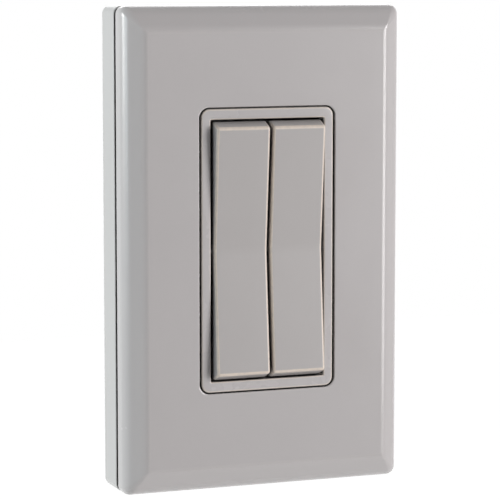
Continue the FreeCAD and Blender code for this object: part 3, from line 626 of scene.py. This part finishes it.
def makeBezel(bezel):
    low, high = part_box("bezel_frame")
    flangeX, flangeZ, face = high.x / mm, high.z / mm, -low.y / mm
    ring = (bezel["halfX"], bezel["halfZ"])
    hole = (bezel["holeX"], bezel["holeZ"])
    rear, front = bezel["flange"]
    section = [
        ((*hole, bezel["rear"], bezel["holeCorner"]), bezel["hiddenRoll"]),
        ((*hole, face, bezel["holeCorner"]), bezel["innerRoll"]),
        ((*ring, face, bezel["corner"]), bezel["outerRoll"]),
        ((*ring, front, bezel["corner"]), 0),
        ((flangeX, flangeZ, front, bezel["flangeCorner"]), bezel["hiddenRoll"]),
        ((flangeX, flangeZ, rear, bezel["flangeCorner"]), bezel["hiddenRoll"]),
        ((*ring, rear, bezel["corner"]), 0),
        ((*ring, bezel["rear"], bezel["corner"]), bezel["hiddenRoll"]),
    ]
    bm = bmesh.new()
    loft(bm, rollOver(section, 6), 8)
    near, far = bezel["legSpan"]
    tipAcross, tipDeep = bezel["legTip"]
    catch = near - bezel["barb"]
    start, end = bezel["barbDepth"]
    middle = (start + end) / 2
    root, tip = front - bezel["legRoot"], bezel["legRear"]
    leg = [(root, near), (end, near), (end, catch), (middle, catch), (start, near),
           (tip, near), (tip, far - tipAcross), (tip + tipDeep, far), (root, far)]
    for level in (1, -1):
        for side in (-1, 1):
            left, right = sorted(side * x for x in bezel["legs"])
            prism(bm, [(depth, level * z) for depth, z in leg], left, right)
    return makePiece("bezel", bm, "bezelPlastic", "switch", "bezel_plastic", "bezel_frame")


makeBezel(bezel)
print("bezel done")


rocker = dict(middle=17.9, edge=20.25, edgeLevel=29.0, foot=17.5, skirt=13.9, wall=1.4,
              hollowSlope=0.9, edgeRoll=0.65, creaseRoll=1.2, steps=5, wearAndSheenWidth=0.25,
              axleDepth=14.6, hub=2.0, hubInset=0.02, bore=1.05, boreExtra=1,
              rib=1.5, ribSpan=(12.8, 18.2), ribTip=13.26, ribRoll=0.15)


def rod(bm, radius, reach, depth, segments=40):
    # a plain rod along X, out to reach on both sides
    angles = [math.tau * i / segments for i in range(segments)]
    near, far = ([bm.verts.new((x * mm, (radius * math.cos(a) - depth) * mm, radius * math.sin(a) * mm))
                  for a in angles] for x in (-reach, reach))
    for j in range(segments):
        k = (j + 1) % segments
        bm.faces.new((near[j], near[k], far[k], far[j]))
    bm.faces.new(reversed(near))
    bm.faces.new(far)


def combine(mesh, tool, operation):
    # join or cut one closed mesh with another and give the result
    body = bpy.data.objects.new("body", mesh)
    other = bpy.data.objects.new("tool", tool)
    for thing in (body, other):
        scene.collection.objects.link(thing)
    modifier = body.modifiers.new("combine", "BOOLEAN")
    modifier.object, modifier.operation, modifier.solver = other, operation, "EXACT"
    result = bpy.data.meshes.new_from_object(body.evaluated_get(bpy.context.evaluated_depsgraph_get()))
    for thing in (body, other):
        bpy.data.objects.remove(thing)
    return result


def meshOf(bm):
    bmesh.ops.recalc_face_normals(bm, faces=bm.faces)
    mesh = bpy.data.meshes.new("shape")
    bm.to_mesh(mesh)
    bm.free()
    return mesh


def rockerShell(rocker, half, foot):
    # the outside: a shallow V from end to end, with rolled edges
    high = rocker["edgeLevel"]
    crest, middle = rocker["edge"], rocker["middle"]
    front = [((crest, high), 0), ((middle, 0.0), rocker["creaseRoll"]), ((crest, -high), 0)]
    valley = rollOver([((*point, 0.0), roll) for point, roll in front], 4, closed=False)
    profile = [(point.x, point.y) for point in valley]
    profile += [(rocker["foot"], -foot), (rocker["skirt"], -foot), (rocker["skirt"], 0.0),
                (rocker["skirt"], foot), (rocker["foot"], foot)]
    bm = bmesh.new()
    prism(bm, profile, -half, half)
    bmesh.ops.recalc_face_normals(bm, faces=bm.faces)

    def atFront(vert):
        return -vert.co.y > rocker["foot"] * mm + 1e-6

    def rolled(edge):
        a, b = edge.verts
        alongX = abs(a.co.z - b.co.z) < 1e-7
        atEnd = abs(abs(a.co.z) - high * mm) < 1e-6
        return (atFront(a) or atFront(b)) and (not alongX or atEnd)

    edges = [edge for edge in bm.edges if rolled(edge)]
    bmesh.ops.bevel(bm, geom=edges, offset=rocker["edgeRoll"] * mm, segments=rocker["steps"], profile=0.5,
                    affect="EDGES", clamp_overlap=True)
    # the hollow behind, a V as well
    rear = min(bm.faces, key=lambda face: (-face.calc_center_median().y, -face.calc_area()))
    bmesh.ops.inset_region(bm, faces=[rear], thickness=rocker["wall"] * mm)
    pushed = bmesh.ops.extrude_face_region(bm, geom=[rear])["geom"]
    bmesh.ops.delete(bm, geom=[rear], context="FACES_ONLY")
    inner = [item for item in pushed if isinstance(item, bmesh.types.BMVert)]
    for vert in inner:
        share = abs(vert.co.z) / (high * mm)
        vert.co.y = -(middle - rocker["wall"] + share * (crest - middle) * rocker["hollowSlope"]) * mm
    middles = [vert for vert in inner if abs(vert.co.z) < 1e-6]
    bmesh.ops.connect_verts(bm, verts=middles)
    return meshOf(bm)


def makeRocker(rocker, side):
    low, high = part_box("rocker_" + side)
    half, foot = (high.x - low.x) / mm / 2, high.z / mm
    shell = rockerShell(rocker, half, foot)
    # a hub just inside the rocker's sides, then the axle's bore right through
    hub = (rocker["hub"], half - rocker["hubInset"])
    bore = (rocker["bore"], half + rocker["boreExtra"])
    for operation, (radius, reach) in (("UNION", hub), ("DIFFERENCE", bore)):
        bm = bmesh.new()
        rod(bm, radius, reach, rocker["axleDepth"])
        shell = combine(shell, meshOf(bm), operation)
    for level in (1, -1):
        bm = bmesh.new()
        span = sorted(level * z for z in rocker["ribSpan"])
        depth = (rocker["ribTip"], rocker["middle"])
        block(bm, (-rocker["rib"], rocker["rib"]), depth, span, rocker["ribRoll"])
        shell = combine(shell, meshOf(bm), "UNION")
    bm = bmesh.new()
    bm.from_mesh(shell)
    bmesh.ops.translate(bm, verts=bm.verts, vec=((low.x + high.x) / 2, 0, 0))
    return makePiece(side + "_rocker", bm, "rockerPlastic", "rocker_" + side, "rocker_plastic",
                     "rocker_" + side, wearAndSheenWidth=rocker["wearAndSheenWidth"])


for side in ("left", "right"):
    makeRocker(rocker, side)
print("rockers done")


finishes = dict(
    back_frame="framePlastic", rocker_axle="brushedSteel",
    module_base="casePlastic", module_cover="casePlastic",
    circuit_board="greenBoard", radio_chip="chipPlastic", storage_capacitor="drawnAluminium",
    antenna_strip="etchedCopper", contact_mat="greySilicone", energy_bow="bowPlastic", magnet="nickelPlate",
    pole_plate_rear="brushedSteel", pole_plate_front="brushedSteel", bow_spring="springSteel",
    coil_core="brushedSteel", coil_bobbin="bobbinPlastic", coil_winding="copperWinding",
    push_pin_upper_left="pinPlastic", push_pin_upper_right="pinPlastic",
    push_pin_lower_left="pinPlastic", push_pin_lower_right="pinPlastic",
)
for name, finish in finishes.items():
    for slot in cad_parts[name].material_slots:
        slot.material = materials[finish]
print("finishes done")
